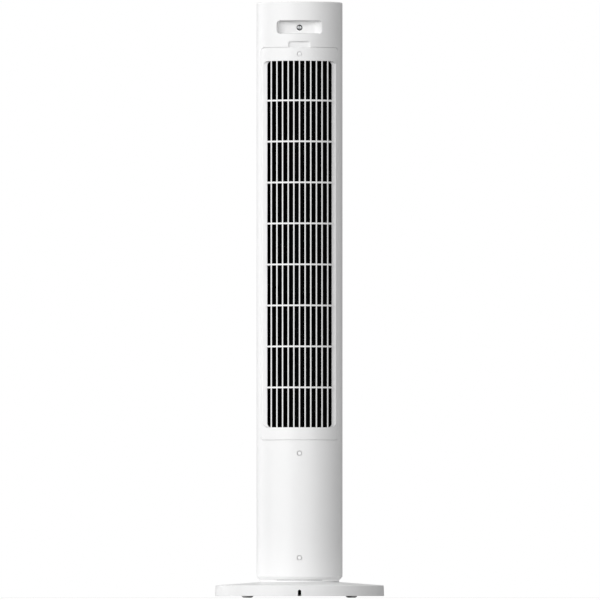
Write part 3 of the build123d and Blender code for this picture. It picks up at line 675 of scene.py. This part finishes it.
def slottedPanel(piece, side, half, field, bars, ledge, holes=()):
    g = grille
    openingCorner = g["ledgeCorner"] if ledge > field else g["fieldCorner"]
    opening = window(ledge, g["fieldLow"], g["fieldHigh"], openingCorner)
    skin = wrapped(window(half, g["low"], g["high"], g["corner"]), column["radius"])
    flat = [wrapped(hole, column["radius"]) for hole in (opening, *holes)]
    strips = spaced(-half * 1.6, half * 1.6, column["strip"])
    piece.sheet(skin, flat, column["thick"], column["softEdge"], curved(column["radius"], side), strips)
    # end walls behind the skin
    for start, way in ((g["fieldLow"], -1), (g["fieldHigh"], 1)):
        spans = spaced(-half + 3, half - 3, 4)
        near, far = start + 0.02 * way, start + g["endWall"] * way
        sections = []
        for x in spans:
            back, front = max(bowed(g["frameR"], x), g["frameY"] if ledge > field else 0), bowed(76.6, x)
            loop = ((back, near), (front, near), (front, far), (back, far))
            sections.append([(x, side * y, z) for y, z in loop])
        piece.loft(sections)
    # bars with softened noses
    for step in range(bars):
        x = (step - (bars - 1) / 2) * g["barPitch"]
        left, right, soft = x - g["barWidth"] / 2, x + g["barWidth"] / 2, g["barSoft"]
        noses = [(left, bowed(g["barBack"], left)), (right, bowed(g["barBack"], right))]
        noses += [(right, bowed(g["barR"], right), soft), (left, bowed(g["barR"], left), soft)]
        nose = rounded(noses, 4)
        piece.loft([[(u, side * v, z) for u, v in nose] for z in (g["fieldLow"] - 1, g["fieldHigh"] + 1)])
    # ribs
    for step in range(8):
        z, thick = g["ribMiddle"] + (step - 3.5) * g["ribPitch"], g["ribHeight"] / 2
        sections = []
        for x in spaced(-field - 0.2, field + 0.2, 3):
            back, front = bowed(g["ribBack"], x), bowed(g["ribR"], x)
            soft = g["ribSoft"]
            low, high = z - thick, z + thick
            rib = rounded([(back, low), (front, low, soft), (front, high, soft), (back, high)], 3)
            sections.append([(x, side * y, level) for y, level in rib])
        piece.loft(sections)


def sideLedge(piece, side):
    # the flat shelf between the bars and the panel's skin
    g = grille
    low, high, near, far = g["fieldLow"], g["fieldHigh"], g["rearField"], g["ledgeHalf"] - 0.03
    corner, inner = g["ledgeCorner"], g["fieldCorner"]
    outline = []
    for start, way in ((low, 1), (high, -1)):
        turns = [math.pi / 2 * step / 6 for step in range(7)]
        outer, notch = [
            [(end + bend * (math.sin(turn) - 1), start + way * bend * (1 - math.cos(turn))) for turn in turns]
            for end, bend in ((far, corner), (near, inner))
        ]
        ends = notch[::-1] + outer
        outline += ends if way > 0 else ends[::-1]
    outline = [(side * x, z) for x, z in outline]
    piece.sheet(outline, [], g["ledgeY"] - g["frameY"], 0.25, lambda u, v, depth: (u, g["ledgeY"] - depth, v))


def makeRearGrille():
    piece = Piece("rearGrille")
    g = grille
    well = circle(seat["wellR"], 0, seat["grilleScrew"])
    slottedPanel(piece, 1, g["rearHalf"], g["rearField"], g["rearBars"], g["ledgeHalf"], [well])
    for side in (1, -1):
        sideLedge(piece, side)
    # floor of the screw well, and the pegs behind
    screwWell(piece, seat["grilleWell"], seat["grilleScrew"])
    for x in (-g["pegX"], g["pegX"]):
        for z in g["pegZ"]:
            peg = [(0, 58.5), (1.5, 58.5, 0.4), (1.5, 62.5), (0, 62.5)]
            piece.lathe(peg, backScrew(x, 0, z), 20)
    piece.deliver("white_shell", "grille", "rear_grille")


def makeFrontGrille():
    piece = Piece("frontGrille")
    g = grille
    slottedPanel(piece, -1, g["frontHalf"], g["frontField"], g["frontBars"], g["frontField"])
    piece.deliver("white_shell", "tower", "front_grille")


def makeRecess():
    piece = Piece("carryRecess")
    tray(piece, recess)
    piece.deliver("white_shell", "tower", "handle_cup", sharp=50)
    # a near-black washer ring round the carry screw: painted shade in the counterbore behind the head
    washer = Piece("paintedShadeWasher")
    bore, rim, thick = recess["shadeWasherBore"], recess["shadeWasherR"], recess["shadeWasherThick"]
    ring = [(bore, 0), (rim, 0), (rim, thick, 0.4), (bore, thick, 0.2)]
    washer.lathe(ring, backScrew(0, recess["boreFloor"], recess["screwZ"]))
    washer.deliver("black_rubber", "tower", "handle_washer")


# the round foot of the fan: outline of the cover, its cord notch and the rubber feet
base = {
    "cover": [
        (11.0, 32.0, 0.4), (73.0, 32.0, 0.3), (73.0, 28.8, 0.5), (154.7, 22.8, 1.6), (155.5, 3.2, 0.4),
        (152.9, 3.2), (152.1, 20.2), (70.4, 26.2), (70.4, 29.4), (11.0, 29.4),
    ],
    "notchHalf": 3.0, "notchTop": 14.7, "footCircle": 135.0, "segments": 256,
    "foot": [(0, 0), (5.5, 0), (8.1, 0.62), (9.6, 1.9), (10.1, 3.2), (10.1, 4.2), (0, 4.2)],
}


def makeBase():
    piece = Piece("baseCover")
    piece.lathe(base["cover"], segments=base["segments"])
    cutter = Piece("notchCutter")
    half, top = base["notchHalf"], base["notchTop"]
    arch = [(-half, -2), (half, -2)]
    turns = [math.pi * step / 12 for step in range(13)]
    arch += [(half * math.cos(turn), top - half + half * math.sin(turn)) for turn in turns]
    cutter.loft([[(x, y, z) for x, z in arch] for y in (144, 162)])
    cover = piece.deliver("white_shell", "base", "base_cover", sharp=38)
    tool = bpy.data.objects.new("notchCutter", bpy.data.meshes.new("notchCutter"))
    bmesh.ops.scale(cutter.mesh, vec=(mm, mm, mm), verts=cutter.mesh.verts)
    cutter.mesh.to_mesh(tool.data)
    bpy.context.collection.objects.link(tool)
    cut = cover.modifiers.new("notch", "BOOLEAN")
    cut.object, cut.operation, cut.solver = tool, "DIFFERENCE", "EXACT"
    cover.modifiers.move(1, 0)
    bpy.context.view_layer.update()
    shaped = bpy.data.meshes.new_from_object(cover.evaluated_get(bpy.context.evaluated_depsgraph_get()))
    cover.modifiers.clear()
    cover.data = shaped
    bpy.data.objects.remove(tool)
    feet = Piece("rubberFeet")
    for quarter in range(4):
        turn = math.radians(45 + 90 * quarter)
        x, y = base["footCircle"] * math.cos(turn), base["footCircle"] * math.sin(turn)
        feet.lathe(base["foot"], standing(x, y), 40)
    feet.deliver("foot_rubber", "base", "base_feet", sharp=60)


# cross-head screws: head radius, height, dome, cross length and width, shank radius and length
screws = {
    "white": {"head": 3.25, "high": 1.3, "dome": 0.35, "cross": (2.8, 0.6), "shank": 1.3},
    "zinc": {"head": 3.75, "high": 2.4, "dome": 0.6, "cross": (4.2, 1.1), "shank": 1.5},
}


def screwHead(piece, look, seatY, z, turn, length):
    long, short = look["cross"][0] / 2, look["cross"][1] / 2
    arms = [(long, short), (short, short), (short, long), (-short, long), (-short, short), (-long, short)]
    arms += [(-x, -y) for x, y in arms]
    spin = Matrix.Rotation(turn, 2)
    cross = [tuple(spin @ Vector(arm)) for arm in arms]
    high, head = look["high"], look["head"]

    def place(u, v, depth):
        sunk = look["dome"] * (u * u + v * v) / (head * head) if depth < high * 0.4 else 0
        return u, seatY + high - depth - sunk, z + v

    piece.sheet(circle(head), [cross], high * 0.62, 0.22, place)
    piece.lathe([(0, 0), (head, 0), (head, high * 0.4), (0, high * 0.4)], backScrew(0, seatY, z), 32)
    shank = look["shank"]
    thread = [(0, 0.1)]
    for turnNumber in range(int(length / 1.2)):
        thread += [(shank, -0.1 - 1.2 * turnNumber), (shank * 0.82, -0.7 - 1.2 * turnNumber)]
    thread += [(0, -length)]
    piece.lathe(thread, backScrew(0, seatY, z), 24)


def makeScrews():
    piece = Piece("columnScrews")
    for number, z in enumerate(seat["columnScrews"]):
        screwHead(piece, screws["white"], seat["wellFloor"], z, 0.35 + number * 0.8, 17)
    piece.deliver("white_screw", "tower", "column_screws")
    piece = Piece("grilleScrew")
    screwHead(piece, screws["white"], seat["wellFloor"], seat["grilleScrew"], 0.15, 13)
    piece.deliver("white_screw", "grille", "grille_screw")
    piece = Piece("handleScrew")
    screwHead(piece, screws["zinc"], recess["boreFloor"] + recess["shadeWasherThick"], recess["screwZ"], 0.6, 12)
    piece.deliver("zinc_screw", "tower", "handle_screw")


# the control panel on top, with its window and four dished keys
panel = {
    "radius": 73.2, "high": 1093.3, "thick": 2.8, "soft": 0.45, "windowHalf": (30.2, 14.2), "windowY": 10.0,
    "keyR": 9.3, "keyGap": 0.3, "keyTop": 1093.9, "keyLow": 1088.4, "keyY": -34.0, "keyPitch": 25.0,
    "dish": 0.35, "markDepth": 0.12, "bosses": ((-25, -41), (25, -41), (-40, 24), (40, 24)),
}


def makePanel():
    p = panel
    piece = Piece("controlPanel")
    wide, deep = p["windowHalf"]
    opening = window(wide, p["windowY"] - deep, p["windowY"] + deep, 3.2)
    keys = [circle(p["keyR"] + p["keyGap"], (step - 1.5) * p["keyPitch"], p["keyY"], 48) for step in range(4)]

    def lay(u, v, depth):
        return u, v, p["high"] - depth

    strips = spaced(-72, 72, 12)
    piece.sheet(circle(p["radius"], steps=160), [opening, *keys], p["thick"], p["soft"], lay, strips, strips)
    for x, y in p["bosses"]:
        piece.lathe([(0, 1081.6), (3, 1081.6), (3, 1090.8), (0, 1090.8)], standing(x, y), 24)
    piece.deliver("white_shell", "tower", "top_panel")
    glass = Piece("displayWindow")
    pane = window(wide - 0.2, p["windowY"] - deep + 0.2, p["windowY"] + deep - 0.2, 3.0)
    glass.sheet(pane, [], 1.5, 0.3, lay, spaced(-28, 28, 7))
    glass.deliver("dark_window", "tower", "display_window")


def arcBand(radius, width, start, end, steps=20):
    # the outline of a thick arc, its angles in degrees
    turns = [math.radians(start + (end - start) * step / steps) for step in range(steps + 1)]
    outer = [((radius + width / 2) * math.cos(turn), (radius + width / 2) * math.sin(turn)) for turn in turns]
    inner = [((radius - width / 2) * math.cos(turn), (radius - width / 2) * math.sin(turn)) for turn in turns]
    return outer + inner[::-1]


def stroke(x0, y0, x1, y1, width=0.5):
    way = Vector((x1 - x0, y1 - y0)).normalized() * width / 2
    return [
        (x0 - way.y, y0 + way.x), (x0 + way.y, y0 - way.x),
        (x1 + way.y, y1 - way.x), (x1 - way.y, y1 + way.x),
    ]


def head(x, y, turn, size=0.9):
    # a small arrow head pointing along turn, in degrees
    points = [(size, 0), (-size * 0.6, size * 0.8), (-size * 0.6, -size * 0.8)]
    spin = Matrix.Rotation(math.radians(turn), 2)
    return [(x + p.x, y + p.y) for p in (spin @ Vector(point) for point in points)]


# one simple sign per key: on and off, timer, swing, speed
signs = {
    "power": [arcBand(2.6, 0.5, 125, 415), stroke(0, 1.2, 0, 3.6)],
    "timer": [
        arcBand(2.9, 0.5, 0, 180), arcBand(2.9, 0.5, 180, 360), stroke(0, 0, 0, 2), stroke(0, 0, 1.4, -0.8),
    ],
    "swing": [
        arcBand(3.4, 0.5, 215, 325), head(-2.95, -1.5, 120), head(2.95, -1.5, 60), stroke(0, -1.2, 0, 2.8),
    ],
    "speed": [
        stroke(-2.4, -2.2, -2.4, -0.6, 1.1), stroke(0, -2.2, 0, 1.0, 1.1), stroke(2.4, -2.2, 2.4, 2.6, 1.1),
    ],
}


def makeKeys():
    p = panel
    low, top, radius, dish = p["keyLow"], p["keyTop"], p["keyR"], p["dish"]
    for step, (name, sign) in enumerate(signs.items()):
        x, y = (step - 1.5) * p["keyPitch"], p["keyY"]
        key = Piece(name + "Key")
        shares = (0, 0.25, 0.5, 0.7, 0.85)
        bowl = [(radius * share, top - dish * (1 - share * share) - 0.02) for share in shares]
        key.lathe([
            (0, 1084.9), (2, 1084.9, 0.2), (2, low), (radius + 1.3, low), (radius + 1.3, 1090.3, 0.3),
            (radius, 1090.3), (radius, top, 0.5), (radius * 0.92, top, 0.3), *bowl[::-1],
        ], standing(x, y), 72)
        body = name + "_key"
        key.deliver("white_button", body, name + "_button", sharp=50)
        marks = Piece(name + "Mark")
        for shape in sign:
            def lay(u, v, depth):
                share = (u * u + v * v) / (radius * radius)
                return x + u, y + v, top - dish * (1 - share) + 0.03 - depth
            marks.sheet(shape, [], p["markDepth"], 0.02, lay, spaced(-3, 3, 1.5))
        marks.deliver("grey_frame", body)


makeCamera()
makeLights()
dressNodes()
makeBase()
makeRearShell()
makeFrontShell()
makeRearGrille()
makeFrontGrille()
makeRecess()
makeScrews()
makePanel()
makeKeys()

floor = bpy.data.objects.new("floor", bpy.data.meshes.new("floor"))
half = studio["floorSize"] / 2
corners = [(-half, -half, 0), (half, -half, 0), (half, half, 0), (-half, half, 0)]
floor.data.from_pydata(corners, [], [(0, 1, 2, 3)])
tone = studio["floorTone"]
pale = plastic("floorPale", (tone, tone, tone), 0.7, mottle=0.01, grain=0.003, patch=0.4)
floor.data.materials.append(pale)
bpy.context.collection.objects.link(floor)
print("floor laid")
